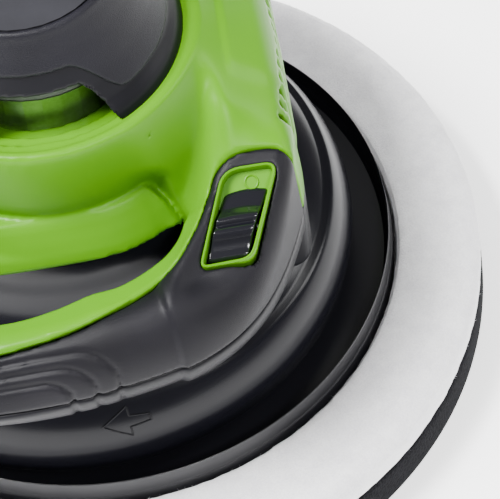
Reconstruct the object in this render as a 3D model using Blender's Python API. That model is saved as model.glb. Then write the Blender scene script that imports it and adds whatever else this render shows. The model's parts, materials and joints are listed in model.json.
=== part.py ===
"""Two-handed orbital floor and panel polisher, 254 mm pad.

Metres, +Z up. The origin is where the motor axis meets the plane of the pad's
working face. +X is the vented front, -X the rear with the cord gland, and the
two loop handles stand out along -Y (right, with the switch) and +Y (left).
Every size below is in millimetres and is turned into metres as it is used.
"""
import bpy
import bmesh
from math import cos, sin, pi, radians
from mathutils import Matrix, Vector

MM = 0.001
GAP = 0.3                 # clearance between neighbouring pieces

# --- driving sizes -------------------------------------------------------
PAD_R = 127.0             # 10 inch pad
PAD_SPLIT_Z = 17.0        # black foam below, white foam above
PAD_TOP_Z = 30.5
THROW = 5.5               # eccentric offset: the orbit is 11 mm across
PLATE_R = 98.0
PLATE_TOP_Z = 32.5
SKIRT_R = 90.0
SKIRT_Z = 36.0
PARTING_Z = 95.0          # joint between lower and upper mouldings
RIM_Z = 147.0             # rim of the cap recess
COLUMN_R = 50.5           # green wall round the motor
SHELF_R = 58.0            # wider foot of that wall
SHELF_Z = 109.0
RECESS_R = 47.5
SHAFT_R = 4.0
WALL = 3.0

# --- plan outlines of the right half (y < 0), front to rear ----------------
BODY_SIDE = [(75, 0), (75, -18), (75.5, -34), (74, -46), (70, -58), (64, -71), (56, -83), (45, -93),
             (31, -100), (14, -104), (-5, -106.5), (-27, -107.3), (-50, -105.5), (-71, -100),
             (-88, -89), (-100, -73), (-106, -52), (-108, -27), (-108, 0)]
HAND_HOLE = [(36.5, -50), (35.5, -57), (32, -65), (25, -72), (14, -77.5), (-2, -81), (-24, -83),
             (-45, -81.5), (-62, -76.5), (-74, -68), (-79, -58), (-76, -51), (-66, -48), (-50, -47)]
GRIP_EDGE = [(-104, -62), (-96, -72), (-86, -81), (-70, -88.5), (-50, -93), (-25, -94), (-2, -91.5),
             (16, -84.5), (31, -75), (37, -68), (42.5, -59), (45.5, -52), (49.5, -46), (58, -43),
             (69, -43.3), (77, -50)]
# The top of the mouldings falls away from the recess rim in every direction.
ROOF = [(51.5, 147), (57, 141.5), (64, 135), (72, 128.8), (80, 123.3), (90, 116.8), (100, 110),
        (106, 104.5), (110, 97), (111, 88)]
# Undersides: the handles curve up to the parting line, the blocks at front and rear are flatter.
HANDLE_KEEL = [(0, 76), (72, 76), (92, 79.5), (101, 83), (107, 88.5), (110, 96)]
BLOCK_KEEL = [(0, 60), (66, 60), (92, 68), (104, 71), (108.5, 75), (110, 96)]

# The switch deck: a plane that falls 18 degrees towards -Y. On it, u runs along +X, v up the slope
# and w out of the deck. The window is a parallelogram, near end first.
BEZEL_AT = (52.0, -61.5, 118.5)
BEZEL_TILT = radians(18)
WINDOW = [(-13.2, -16.0), (3.7, -15.6), (16.3, 14.9), (-1.3, 15.0)]
WINDOW_CORNER_R = (3.2, 3.6, 4.2, 4.6)
BEZEL_WALL = 1.3
ROCKER_V = -3.0           # hinge of the rocker, in the deck's v and w
ROCKER_W = -7.5


ARCH_HALF_ANGLE = 30      # half width of the arches in the cap's edge
HANDLE_SCREWS = [(60, -60), (-90, -54), (-20, -98.5)]
MOTOR_SCREW_CIRCLE = 47.5
MOTOR_SCREW_ANGLES = (30, 150, 270)
CORD_Z = 85.0


# --- helpers ---------------------------------------------------------------
def material(name, colour, roughness, metallic=0.0):
    made = bpy.data.materials.new(name)
    made.use_nodes = True
    shader = made.node_tree.nodes["Principled BSDF"]
    shader.inputs["Base Color"].default_value = (*colour, 1.0)
    shader.inputs["Roughness"].default_value = roughness
    shader.inputs["Metallic"].default_value = metallic
    return made


def add_object(name, mesh, finish=None):
    mesh.name = name
    made = bpy.data.objects.new(name, mesh)
    bpy.context.scene.collection.objects.link(made)
    if finish:
        mesh.materials.append(finish)
    return made


def mesh_of(points, faces):
    mesh = bpy.data.meshes.new("mesh")
    mesh.from_pydata([Vector(p) * MM for p in points], [], faces)
    tidy = bmesh.new()
    tidy.from_mesh(mesh)
    bmesh.ops.remove_doubles(tidy, verts=tidy.verts, dist=1e-6)
    bmesh.ops.recalc_face_normals(tidy, faces=tidy.faces)
    tidy.to_mesh(mesh)
    tidy.free()
    return mesh


def turned(profile, centre=(0, 0), steps=32, sweep=(0, 360)):
    """A closed (radius, height) profile turned about a vertical axis."""
    full = abs(sweep[1] - sweep[0]) >= 360
    rings = steps if full else steps + 1
    points = []
    for k in range(rings):
        a = radians(sweep[0] + (sweep[1] - sweep[0]) * k / steps)
        points += [(centre[0] + r * cos(a), centre[1] + r * sin(a), z) for r, z in profile]
    n = len(profile)
    sides = [i for i in range(n) if profile[i][0] > 0 or profile[(i + 1) % n][0] > 0]
    faces = []
    for k in range(steps):
        here, there = k * n, ((k + 1) % rings) * n
        faces += [(here + i, here + (i + 1) % n, there + (i + 1) % n, there + i) for i in sides]
    if not full:
        faces += [tuple(range(n)), tuple(reversed(range((rings - 1) * n, rings * n)))]
    return mesh_of(points, faces)


def prism(outline, low, high):
    """A plan outline raised from one height to another."""
    n = len(outline)
    points = [(x, y, low) for x, y in outline] + [(x, y, high) for x, y in outline]
    faces = [tuple(reversed(range(n))), tuple(range(n, 2 * n))]
    faces += [(i, (i + 1) % n, n + (i + 1) % n, n + i) for i in range(n)]
    return mesh_of(points, faces)


def cylinder(radius, low, high, at=(0, 0), steps=24):
    ring = [(at[0] + radius * cos(2 * pi * k / steps), at[1] + radius * sin(2 * pi * k / steps))
            for k in range(steps)]
    return prism(ring, low, high)


def box(low, high):
    return prism([(low[0], low[1]), (high[0], low[1]), (high[0], high[1]), (low[0], high[1])],
                 low[2], high[2])


def offset(outline, distance):
    """The outline moved outwards by a distance (inwards if it is negative)."""
    n = len(outline)
    area = sum(outline[i - 1][0] * outline[i][1] - outline[i][0] * outline[i - 1][1] for i in range(n))
    side = 1 if area > 0 else -1
    out = []
    for i in range(n):
        along = (Vector(outline[(i + 1) % n]) - Vector(outline[i - 1])).normalized()
        out.append((outline[i][0] + along.y * distance * side, outline[i][1] - along.x * distance * side))
    return out


def closed_volume(mesh):
    """The volume of a closed mesh, or None if it has an open or shared edge."""
    check = bmesh.new()
    check.from_mesh(mesh)
    closed = all(len(edge.link_faces) == 2 for edge in check.edges)
    volume = check.calc_volume() if closed else None
    check.free()
    return volume


def plausible(result, body, tool, operation):
    """A Boolean that went wrong is open, or holds far too much or too little."""
    volume = closed_volume(result)
    if volume is None:
        return False
    before, other = closed_volume(body), closed_volume(tool)
    lowest = {"DIFFERENCE": before - other, "UNION": max(before, other), "INTERSECT": 0}[operation]
    highest = {"DIFFERENCE": before, "UNION": before + other, "INTERSECT": min(before, other)}[operation]
    return lowest * 0.999 <= volume <= highest * 1.001


def combine(body, tool_mesh, operation):
    """Boolean of a body and a tool, applied at once. The MANIFOLD solver steps in where EXACT fails."""
    tool = add_object("tool", tool_mesh)
    for solver in ("EXACT", "MANIFOLD"):
        change = body.modifiers.new("change", "BOOLEAN")
        change.operation = operation
        change.solver = solver
        change.object = tool
        bpy.context.view_layer.update()
        graph = bpy.context.evaluated_depsgraph_get()
        result = bpy.data.meshes.new_from_object(body.evaluated_get(graph))
        body.modifiers.remove(change)
        if plausible(result, body.data, tool_mesh, operation):
            break
    body.data = result
    bpy.data.objects.remove(tool)
    return body


def cut(body, tool_mesh):
    return combine(body, tool_mesh, "DIFFERENCE")


def join(body, tool_mesh):
    return combine(body, tool_mesh, "UNION")


def keep(body, tool_mesh):
    return combine(body, tool_mesh, "INTERSECT")


def flipped(outline, side):
    """The right-hand outline for side -1, its mirror image for side +1."""
    return outline if side < 0 else [(x, -y) for x, y in reversed(outline)]


def placed(mesh, matrix):
    mesh.transform(matrix)
    return mesh


def shade(made):
    made.data.shade_smooth()
    made.data.set_sharp_from_angle(angle=radians(32))


# --- outlines and bounding solids shared by the mouldings --------------------
def body_outline():
    return BODY_SIDE + [(x, -y) for x, y in reversed(BODY_SIDE[1:-1])]


def hand_hole(side, grow=0.0, column=SHELF_R):
    arc = [(column * cos(radians(a)), column * sin(radians(a))) for a in range(-124, -53, 10)]
    return offset(flipped(HAND_HOLE + arc, side), grow)


def grip_region(side, grow=0.0):
    outside = [(100, -60), (90, -118), (0, -135), (-100, -118), (-128, -80), (-116, -62)]
    return offset(flipped(GRIP_EDGE + outside, side), grow)


def roof(drop=0.0, low=60.0):
    top = [(0, RIM_Z - drop)] + [(r - drop * 0.5, z - drop) for r, z in ROOF]
    return turned([(0, low)] + top + [(ROOF[-1][0] - drop * 0.5, low)], steps=40)


def keel(underside):
    return turned(underside + [(110, 100), (0, 100)], steps=48)


def bezel_matrix():
    return Matrix.Translation(Vector(BEZEL_AT) * MM) @ Matrix.Rotation(BEZEL_TILT, 4, "X")


def window_outline(grow=0.0):
    """The window's parallelogram with rounded corners, in the deck's own plane."""
    out = []
    for i, (corner, radius) in enumerate(zip(WINDOW, WINDOW_CORNER_R)):
        before, after = Vector(WINDOW[i - 1]), Vector(WINDOW[(i + 1) % 4])
        here = Vector(corner)
        start = here + (before - here).normalized() * radius
        end = here + (after - here).normalized() * radius
        out += [tuple(start), tuple(start.lerp(here, 0.6).lerp(here.lerp(end, 0.4), 0.5)), tuple(end)]
    return offset(out, grow)


def window_sides(v, inset):
    """The window's left and right edges at v, moved inwards."""
    near_left, near_right, far_right, far_left = WINDOW
    left = near_left[0] + (far_left[0] - near_left[0]) * (v - near_left[1]) / (far_left[1] - near_left[1])
    right = near_right[0] + (far_right[0] - near_right[0]) * (v - near_right[1]) / (far_right[1] - near_right[1])
    return left + inset, right - inset


# --- mouldings ---------------------------------------------------------------
def make_upper_shell(green):
    shell = add_object("upper_shell", prism(body_outline(), PARTING_Z + GAP, 160), green)
    keep(shell, roof(low=80))
    inside = add_object("inside", prism(offset(body_outline(), -WALL), 80, 160))
    keep(inside, roof(drop=WALL, low=75))
    for side in (-1, 1):
        cut(inside, prism(hand_hole(side, WALL), 70, 170))
        cut(inside, prism(grip_region(side, WALL), 70, 170))
    cut(inside, cylinder(COLUMN_R + 1, 60, 170, steps=48))
    cut(inside, box((-112, -9, 70), (-96, 9, 112)))
    cut(shell, inside.data.copy())
    bpy.data.objects.remove(inside)
    for side in (-1, 1):
        cut(shell, prism(hand_hole(side), 70, SHELF_Z))
        cut(shell, prism(hand_hole(side, 0.05, COLUMN_R), SHELF_Z - 1, 170))
        cut(shell, prism(grip_region(side, GAP), 70, 170))
    cut(shell, cylinder(RECESS_R, 80, 170, steps=48))
    for k in range(9):
        y = (k - 4) * 7.2
        cut(shell, box((68, y - 1.5, 102), (80, y + 1.5, 119)))
    return shell


def make_lower_housing(black):
    outside = [(57.7, PARTING_Z - GAP), (58.2, 84), (60, 78), (64.5, 72.5), (72, 68), (80, 63.2),
               (86, 57.5), (89.2, 50.5), (SKIRT_R, 42), (89.6, SKIRT_Z)]
    inside = [(86.6, SKIRT_Z), (86.6, 44), (83, 54.5), (70, 63.5), (54, 69), (42, 69), (42, 72),
              (54.5, 72), (54.5, PARTING_Z - GAP)]
    housing = add_object("lower_housing", turned(outside + inside, steps=40), black)
    for ends, holds in (((59, 76), (62.5, 71.5)), ((-109, -59), (-104, -62.5))):
        block = add_object("block", prism(body_outline(), 60, PARTING_Z - GAP))
        keep(block, keel(BLOCK_KEEL))
        keep(block, box((ends[0], -45.5, 60), (ends[1], 45.5, 100)))
        keep(block, turned([(57, 50), (120, 50), (120, 100), (57, 100)], steps=48))
        cut(block, box((holds[0], -41, 74), (holds[1], 41, 110)))
        join(housing, block.data.copy())
        bpy.data.objects.remove(block)
    cut(housing, turned([(0, 20), (0, 60), (60, 60), (77, 59.2), (85, 49), (86.4, 30)], steps=48))
    for angle in MOTOR_SCREW_ANGLES:
        cut(housing, cylinder(2.1, 65, 75, at=polar(MOTOR_SCREW_CIRCLE, angle), steps=12))
    cut(housing, cord_hole(6.4))
    return housing


def cord_hole(radius):
    hole = cylinder(radius, -125, -90, steps=20)
    turn = Matrix.Rotation(radians(90), 4, "Y")
    return placed(hole, Matrix.Translation(Vector((0, 0, CORD_Z)) * MM) @ turn)


def make_grip(name, side, rubber):
    grip = add_object(name, prism(body_outline(), PARTING_Z + GAP, 160), rubber)
    keep(grip, roof(low=80))
    keep(grip, prism(grip_region(side), 70, 170))
    cut(grip, prism(hand_hole(side, 1.0), 70, 170))
    if side < 0:
        matrix = bezel_matrix()
        seat = add_object("seat", placed(prism(window_outline(7.5), -14, -0.6), matrix))
        keep(seat, prism(grip_region(side), 70, 170))
        keep(seat, prism(offset(body_outline(), -0.2), 70, 170))
        join(grip, seat.data.copy())
        bpy.data.objects.remove(seat)
        cut(grip, placed(prism(window_outline(7.5), -0.6, 20), matrix))
        cut(grip, placed(prism(window_outline(GAP), -22.5, 5), matrix))
        cut(grip, box((20, -100, 60), (80, -40, PARTING_Z + GAP)))
    return grip


def make_handle_lower(name, side, black):
    half = add_object(name, prism(offset(body_outline(), -0.3), 60, PARTING_Z - GAP), black)
    keep(half, keel(HANDLE_KEEL))
    keep(half, prism(flipped([(120, -46), (120, -130), (-130, -130), (-130, -46)], side), 50, 120))
    cut(half, prism(hand_hole(side, 0.6), 50, 120))
    cut(half, cylinder(62.5, 50, 120, steps=48))
    cut(half, prism(flipped(half_channel(), side), PARTING_Z - 9, 120))
    for x, y in HANDLE_SCREWS:
        cut(half, cylinder(3.6, 60, PARTING_Z - 6, at=(x, y * -side), steps=12))
        cut(half, cylinder(1.9, 60, 120, at=(x, y * -side), steps=12))
    return half


def half_channel():
    """Wire channel along the inside of a handle."""
    return [(48, -66), (40, -80), (22, -89), (-5, -94), (-40, -94), (-66, -88), (-84, -76), (-92, -62),
            (-88, -60), (-80, -72), (-64, -83), (-39, -89), (-6, -89), (20, -84), (36, -76), (43, -64)]


def polar(radius, degrees):
    return (radius * cos(radians(degrees)), radius * sin(radians(degrees)))


def cap_bite(side):
    """Wedge taken out of the cap's skirt so that air reaches the louvres."""
    return flipped([(-15, -32.6), (-6, -33.6), (6, -33.6), (15, -32.6), (24, -37), (33, -52), (-33, -52),
                    (-24, -37)], side)


def make_cap(textured, black, plate):
    outer = [(0, 178.6), (28.4, 178.6), (28.7, 180.6), (30.2, 180.6), (31.6, 178.4), (34.2, 171.5),
             (38.6, 161.5), (43.2, 152.5), (45.6, 147.6)]
    inner = [(43.2, 147.6), (40.8, 152.3), (36.2, 161), (31.4, 171.5), (28.6, 176), (0, 176)]
    cap = add_object("top_cap", turned(outer + inner, steps=36), textured)
    flange = add_object("cap_flange", turned([(31.0, 141), (46.8, 141), (46.8, 147.2), (31.0, 147.2)], steps=40),
                        black)
    for side in (-1, 1):
        cut(cap, prism(cap_bite(side), 140, 167))
        cut(flange, prism(cap_bite(side), 130, 160))
        arch = ARCH_HALF_ANGLE
        join(flange, turned([(31.2, 146.5), (32.8, 146.5), (32.8, 165), (31.2, 165)], steps=12,
                            sweep=(side * 90 - arch, side * 90 + arch)))
    add_object("rating_plate", turned([(0, 178.9), (27.8, 178.9), (27.8, 179.5), (0, 179.5)], steps=32), plate)


# --- switch ------------------------------------------------------------------
def make_switch(green, gloss, black, steel):
    matrix = bezel_matrix()
    hinge = rocker_pin_matrix(matrix)
    bezel = add_object("switch_bezel", placed(prism(window_outline(), -10, 0), matrix), green)
    cut(bezel, placed(prism(window_outline(-BEZEL_WALL), -8.5, 3), matrix))
    near, far, inset = -13.6, 9.4, 2.0
    slot = [(window_sides(near, inset)[0], near), (window_sides(near, inset)[1], near),
            (window_sides(far, inset)[1], far), (window_sides(far, inset)[0], far)]
    cut(bezel, placed(prism(slot, -20, 3), matrix))
    cut(bezel, placed(cylinder(1.2, -14, 14, steps=16), hinge))
    body = add_object("switch_body", placed(box((-3.8, -11.0, -20.3), (4.8, 5.5, -14.2)), matrix), black)
    for v in (-8.0, -2.5, 3.0):
        join(body, placed(box((-1.2, v - 0.4, -21.8), (1.2, v + 0.4, -20)), matrix))
    add_object("rocker_pin", placed(cylinder(0.9, -7.8, 8.4, steps=12), hinge), steel)
    wave = [(-12.6, -6.8), (-12.8, -2.9), (-10.4, -2.2), (-7.6, -1.0), (-5.6, 0.4), (-4.0, 0.7), (-2.4, -0.6),
            (-1.0, -0.6), (0.8, 0.2), (2.0, -0.6), (4.6, -3.6), (7.6, -5.2), (7.8, -8.4), (4.5, -10.4),
            (-3, -11.6), (-9, -10.4)]
    n = len(wave)
    points = [(window_sides(v, 2.9)[side], v, w) for side in (0, 1) for v, w in wave]
    faces = [tuple(range(n)), tuple(reversed(range(n, 2 * n)))]
    faces += [(i, (i + 1) % n, n + (i + 1) % n, n + i) for i in range(n)]
    rocker = add_object("rocker", placed(mesh_of(points, faces), matrix), gloss)
    cut(rocker, placed(cylinder(1.2, -14, 14, steps=16), hinge))


def rocker_pin_matrix(matrix):
    """Stands a cylinder along the rocker's hinge."""
    return matrix @ Matrix.Translation(Vector((0, ROCKER_V, ROCKER_W)) * MM) @ Matrix.Rotation(radians(90), 4, "Y")


# --- motor -------------------------------------------------------------------
def make_motor(steel, zinc, magnet, copper, laminations, plastic, brass, carbon):
    base = add_object("motor_base", turned([(6.4, 64.3), (16, 64.3), (16, 72.3), (51, 72.3), (51, 76.5),
                                            (13.3, 76.5), (13.3, 66.3),
                                            (6.4, 66.3)], steps=28), zinc)
    for angle in (90, 210, 330):
        join(base, cylinder(3.4, 75, 89.7, at=polar(38, angle), steps=16))
    for angle in MOTOR_SCREW_ANGLES:
        cut(base, cylinder(2.1, 70, 80, at=polar(MOTOR_SCREW_CIRCLE, angle), steps=12))
    bearing("lower_bearing", 66.6, 75.6, 13.0, SHAFT_R + GAP, (0, 0), steel)
    add_object("motor_can", turned([(28.2, 90), (42, 90), (42, 92.5), (30.6, 92.5), (30.6, 149.6),
                                    (28.2, 149.6)], steps=32), steel)
    for k, start in enumerate((-65, 115)):
        add_object("magnet_" + "ab"[k], turned([(24.0, 98), (27.9, 98), (27.9, 134), (24.0, 134)],
                                               steps=16, sweep=(start, start + 130)), magnet)
    bracket = add_object("motor_bracket", turned([(6.4, 149.9), (30.4, 149.9), (30.4, 153.4), (15, 153.4),
                                                  (15, 164), (11.4, 164), (11.4, 155.6), (6.4, 155.6)],
                                                 steps=32), plastic)
    for angle in (45, 135, 225, 315):
        cut(bracket, cylinder(5.5, 140, 160, at=polar(24, angle), steps=16))
    bearing("upper_bearing", 155.9, 163.5, 11.1, SHAFT_R + GAP, (0, 0), steel)
    add_object("rotor_shaft", cylinder(SHAFT_R, 56, 165, steps=20), steel)
    make_core("armature_core", 101, 131, laminations)
    add_object("winding_lower", turned([(8, 93), (19, 93), (21.5, 96), (21.5, 100.7), (8, 100.7)], steps=24),
               copper)
    add_object("winding_upper", turned([(8, 131.3), (21.5, 131.3), (21.5, 135), (18, 137.6), (8, 137.6)],
                                       steps=24), copper)
    add_object("commutator", turned([(SHAFT_R + GAP, 138.4), (13, 138.4), (13, 139.8), (11.4, 139.8),
                                     (11.4, 149.0), (SHAFT_R + GAP, 149.0)], steps=24), copper)
    make_fan(plastic)
    for name, direction in (("front", 1), ("rear", -1)):
        make_brush(name, direction, brass, carbon, steel)


def bearing(name, low, high, outer, inner, at, finish):
    groove = 0.8
    profile = [(inner, low), (outer, low), (outer, high), (outer - 2, high), (outer - 2.2, high - groove),
               (inner + 2.2, high - groove), (inner + 2, high), (inner, high)]
    return add_object(name, turned(profile, centre=at, steps=18), finish)


def make_core(name, low, high, finish):
    core = add_object(name, turned([(SHAFT_R + GAP, low), (23.3, low), (23.3, high), (SHAFT_R + GAP, high)],
                                   steps=32), finish)
    slots = 12
    for k in range(slots):
        slot = box((17, -1.1, low - 1), (28, 1.1, high + 1))
        cut(core, placed(slot, Matrix.Rotation(2 * pi * (k + 0.5) / slots, 4, "Z")))
    return core


def make_fan(plastic):
    fan = add_object("cooling_fan", turned([(SHAFT_R + GAP, 79), (32, 79), (32, 80.6), (10, 80.6), (9, 88),
                                            (SHAFT_R + GAP, 88)], steps=28), plastic)
    blades = 11
    for k in range(blades):
        blade = box((12, -0.9, 80), (31.5, 0.9, 87.5))
        lean = Matrix.Translation(Vector((20, 0, 0)) * MM) @ Matrix.Rotation(radians(28), 4, "Z")
        lean = lean @ Matrix.Translation(Vector((-20, 0, 0)) * MM)
        join(fan, placed(blade, Matrix.Rotation(2 * pi * k / blades, 4, "Z") @ lean))
    return fan


def make_brush(name, direction, brass, carbon, steel):
    turn = Matrix.Rotation(0 if direction > 0 else pi, 4, "Z")
    holder = add_object("brush_holder_" + name, placed(box((14, -5, 140), (26.9, 5, 148.5)), turn), brass)
    cut(holder, placed(box((10, -3.6, 141.2), (25.9, 3.6, 147.3)), turn))
    add_object("brush_" + name, placed(box((11.8, -3.3, 141.5), (20.6, 3.3, 147)), turn), carbon)
    add_object("brush_spring_" + name, placed(coil_spring(21.0, 25.5, 2.2, 0.35, 4, 144.25), turn), steel)


def coil_spring(start, end, radius, wire, turns, height):
    """A helix of wire along X, closed at both ends."""
    sides, per_turn = 4, 10
    steps = turns * per_turn
    points = []
    for k in range(steps + 1):
        a = 2 * pi * k / per_turn
        x = start + wire + (end - start - 2 * wire) * k / steps
        out = Vector((0, cos(a), sin(a)))
        for s in range(sides):
            b = 2 * pi * s / sides
            p = Vector((x, 0, height)) + out * (radius + wire * cos(b)) + Vector((wire * sin(b), 0, 0))
            points.append(p)
    faces = [tuple(range(sides)), tuple(reversed(range(steps * sides, (steps + 1) * sides)))]
    for k in range(steps):
        for s in range(sides):
            a, b = k * sides + s, k * sides + (s + 1) % sides
            faces.append((a, b, b + sides, a + sides))
    return mesh_of(points, faces)


# --- eccentric drive and pad ---------------------------------------------------
def make_drive(steel, zinc):
    block = add_object("eccentric_block", cylinder(20, 44.6, 62.5, steps=28), zinc)
    join(block, turned([(0, 58.3), (35, 58.3), (35, 62.5), (0, 62.5)], steps=20, sweep=(130, 230)))
    cut(block, cylinder(13.3, 40, 53.7, at=(THROW, 0), steps=28))
    cut(block, cylinder(SHAFT_R + GAP, 55.7, 70, steps=20))
    weight = add_object("counterweight", turned([(20.4, 47), (41, 47), (41, 58), (20.4, 58)], steps=20,
                                                sweep=(110, 250)), steel)
    for k, angle in enumerate((155, 205)):
        at = polar(28, angle)
        cut(block, cylinder(2.3, 50, 70, at=at, steps=12))
        cut(weight, cylinder(2.1, 49.5, 70, at=at, steps=12))
        screw("counterweight_screw_%d" % (k + 1), at, 62.8, 3.4, 1.8, 12, steel)
    bearing("spindle_bearing", 45.0, 53.4, 13.0, 5.3, (THROW, 0), steel)


def screw(name, at, seat, head_r, shank_r, length, finish, up=True):
    """A pan head screw with a cross recess; its head is above its seat, or below it if up is false."""
    sign = 1 if up else -1
    head = 2.4
    profile = [(0, seat - sign * length), (shank_r, seat - sign * length), (shank_r, seat), (head_r, seat),
               (head_r, seat + sign * head * 0.5), (head_r * 0.7, seat + sign * head), (0, seat + sign * head)]
    made = add_object(name, turned(profile, centre=at, steps=10), finish)
    arm, half = head_r * 0.55, 0.4
    cross = [(arm, -half), (arm, half), (half, half), (half, arm), (-half, arm), (-half, half), (-arm, half),
             (-arm, -half), (-half, -half), (-half, -arm), (half, -arm), (half, -half)]
    ends = sorted((seat + sign * head * 0.45, seat + sign * (head + 1)))
    return cut(made, prism([(at[0] + x, at[1] + y) for x, y in cross], *ends))


def make_pad(steel, plate_black, hook, foam_black, foam_white):
    at = (THROW, 0)
    add_object("pad_spindle", turned([(2.9, 28), (5, 28), (5, 38.3), (12, 38.3), (12, 41.4), (6.4, 43.4),
                                      (5, 43.4), (5, 53.2), (0, 53.2), (0, 46), (2.9, 46)], at, 20), steel)
    add_object("backing_plate", turned([(5.3, 38), (17, 38), (20, 32), (30, 28), (95.4, 27.6), (96.3, 31.6),
                                        (97.0, PLATE_TOP_Z), (97.7, 31.8), (PLATE_R, 30), (PLATE_R, 21.8),
                                        (10.5, 21.8), (10.5, 27.7), (5.3, 27.7)], at, 40), plate_black)
    bolt = add_object("pad_bolt", turned([(0, 22.4), (7.6, 22.4), (7.6, 27.2), (2.6, 27.2), (2.6, 45), (0, 45)],
                                         at, 20), steel)
    cut(bolt, cylinder(3.4, 20, 25.6, at=at, steps=6))
    add_object("hook_disc", turned([(12, 20.2), (95.5, 20.2), (95.5, 21.5), (12, 21.5)], at, 40), hook)
    add_object("foam_upper", turned([(0, PAD_SPLIT_Z + GAP), (0, 19.9), (98.6, 19.9), (98.6, 28.8),
                                     (100.6, PAD_TOP_Z), (121, PAD_TOP_Z), (125.4, 28.2), (PAD_R, 24),
                                     (PAD_R, PAD_SPLIT_Z + GAP)], at, 44), foam_white)
    add_object("foam_lower", turned([(0, 0), (122, 0), (125.8, 1.8), (PAD_R, 5), (PAD_R, PAD_SPLIT_Z),
                                     (0, PAD_SPLIT_Z)], at, 44), foam_black)


# --- small static pieces -----------------------------------------------------
def make_rear(black, board, steel, plastic):
    gland = turned([(3.6, 0), (5.0, 0), (6.6, 4), (8.6, 14), (8.6, 17.2), (5.9, 17.3), (5.9, 22.4), (8.4, 22.6),
                    (8.4, 25.0), (3.6, 25.0)], steps=20)
    along = Matrix.Translation(Vector((-126, 0, CORD_Z)) * MM) @ Matrix.Rotation(radians(90), 4, "Y")
    add_object("cord_gland", placed(gland, along), black)
    clamp = add_object("cord_clamp", box((-94, -13, 90), (-86, 13, 93.4)), plastic)
    cut(clamp, placed(cylinder(4.2, -100, -80, steps=16),
                      Matrix.Translation(Vector((0, 0, CORD_Z + 3)) * MM) @ Matrix.Rotation(radians(90), 4, "Y")))
    for k, y in enumerate((-9.5, 9.5)):
        cut(clamp, cylinder(1.8, 80, 100, at=(-90, y), steps=12))
        screw("clamp_screw_%d" % (k + 1), (-90, y), 93.7, 2.9, 1.5, 14, steel)
    control = add_object("control_board", box((-84, -28, 78), (-66, 28, 79.6)), board)
    for x, y, sx, sy, high in ((-76, -18, 9, 12, 12), (-75, 2, 10, 10, 9), (-74, 18, 7, 14, 6)):
        join(control, box((x - sx / 2, y - sy / 2, 79), (x + sx / 2, y + sy / 2, 79.6 + high)))


def make_fasteners(steel):
    for k, angle in enumerate(MOTOR_SCREW_ANGLES):
        screw("motor_screw_%d" % (k + 1), polar(MOTOR_SCREW_CIRCLE, angle), 76.8, 3.4, 1.8, 10, steel)
    for side, word in ((-1, "right"), (1, "left")):
        for k, (x, y) in enumerate(HANDLE_SCREWS):
            screw("handle_screw_%s_%d" % (word, k + 1), (x, y * -side), PARTING_Z - 6.3, 3.2, 1.6, 6.0, steel,
                  up=False)


def clear_scene():
    for old in list(bpy.data.objects):
        bpy.data.objects.remove(old)


def main():
    clear_scene()
    green = material("green_shell", (0.16, 0.46, 0.03), 0.38)
    gloss = material("gloss_black", (0.018, 0.018, 0.022), 0.18)
    rubber = material("soft_grip", (0.02, 0.02, 0.024), 0.62)
    textured = material("textured_black", (0.022, 0.021, 0.026), 0.5)
    black = material("matt_black", (0.02, 0.02, 0.02), 0.55)
    plate = material("rating_plate", (0.012, 0.012, 0.014), 0.4)
    steel = material("steel", (0.55, 0.56, 0.58), 0.35, 1.0)
    zinc = material("cast_zinc", (0.42, 0.42, 0.43), 0.5, 1.0)
    magnet = material("ferrite", (0.05, 0.05, 0.055), 0.7)
    copper = material("copper", (0.72, 0.34, 0.18), 0.4, 1.0)
    laminations = material("laminations", (0.3, 0.3, 0.32), 0.55, 1.0)
    brass = material("brass", (0.72, 0.53, 0.22), 0.35, 1.0)
    carbon = material("carbon", (0.03, 0.03, 0.03), 0.8)
    board = material("circuit_board", (0.02, 0.13, 0.05), 0.5)
    plastic = material("grey_plastic", (0.12, 0.12, 0.13), 0.5)
    hook = material("hook_fabric", (0.03, 0.03, 0.03), 0.9)
    foam_black = material("black_foam", (0.02, 0.02, 0.022), 0.95)
    foam_white = material("white_foam", (0.72, 0.71, 0.74), 0.95)
    make_upper_shell(green)
    make_lower_housing(gloss)
    make_cap(textured, black, plate)
    for side, word in ((-1, "right"), (1, "left")):
        make_grip("grip_" + word, side, rubber)
        make_handle_lower("handle_lower_" + word, side, black)
    make_switch(green, gloss, black, steel)
    make_motor(steel, zinc, magnet, copper, laminations, plastic, brass, carbon)
    make_drive(steel, zinc)
    make_pad(steel, gloss, hook, foam_black, foam_white)
    make_rear(black, board, steel, plastic)
    make_fasteners(steel)
    for made in bpy.data.objects:
        shade(made)


main()
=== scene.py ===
# %% [markdown]
# # A two-handed orbital polisher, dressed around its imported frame
# The frame holds the working parts at their real places. This file gives them their looks.
# Lengths in the shape formulas are millimetres, as a mould maker writes them. `MM` turns them into
# metres when a mesh is made.

# %% Load the frame
import json
from math import cos, sin, pi, radians

import bmesh
import bpy
import numpy as np
from mathutils import Matrix, Vector
from mathutils import noise as solid_noise

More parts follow.
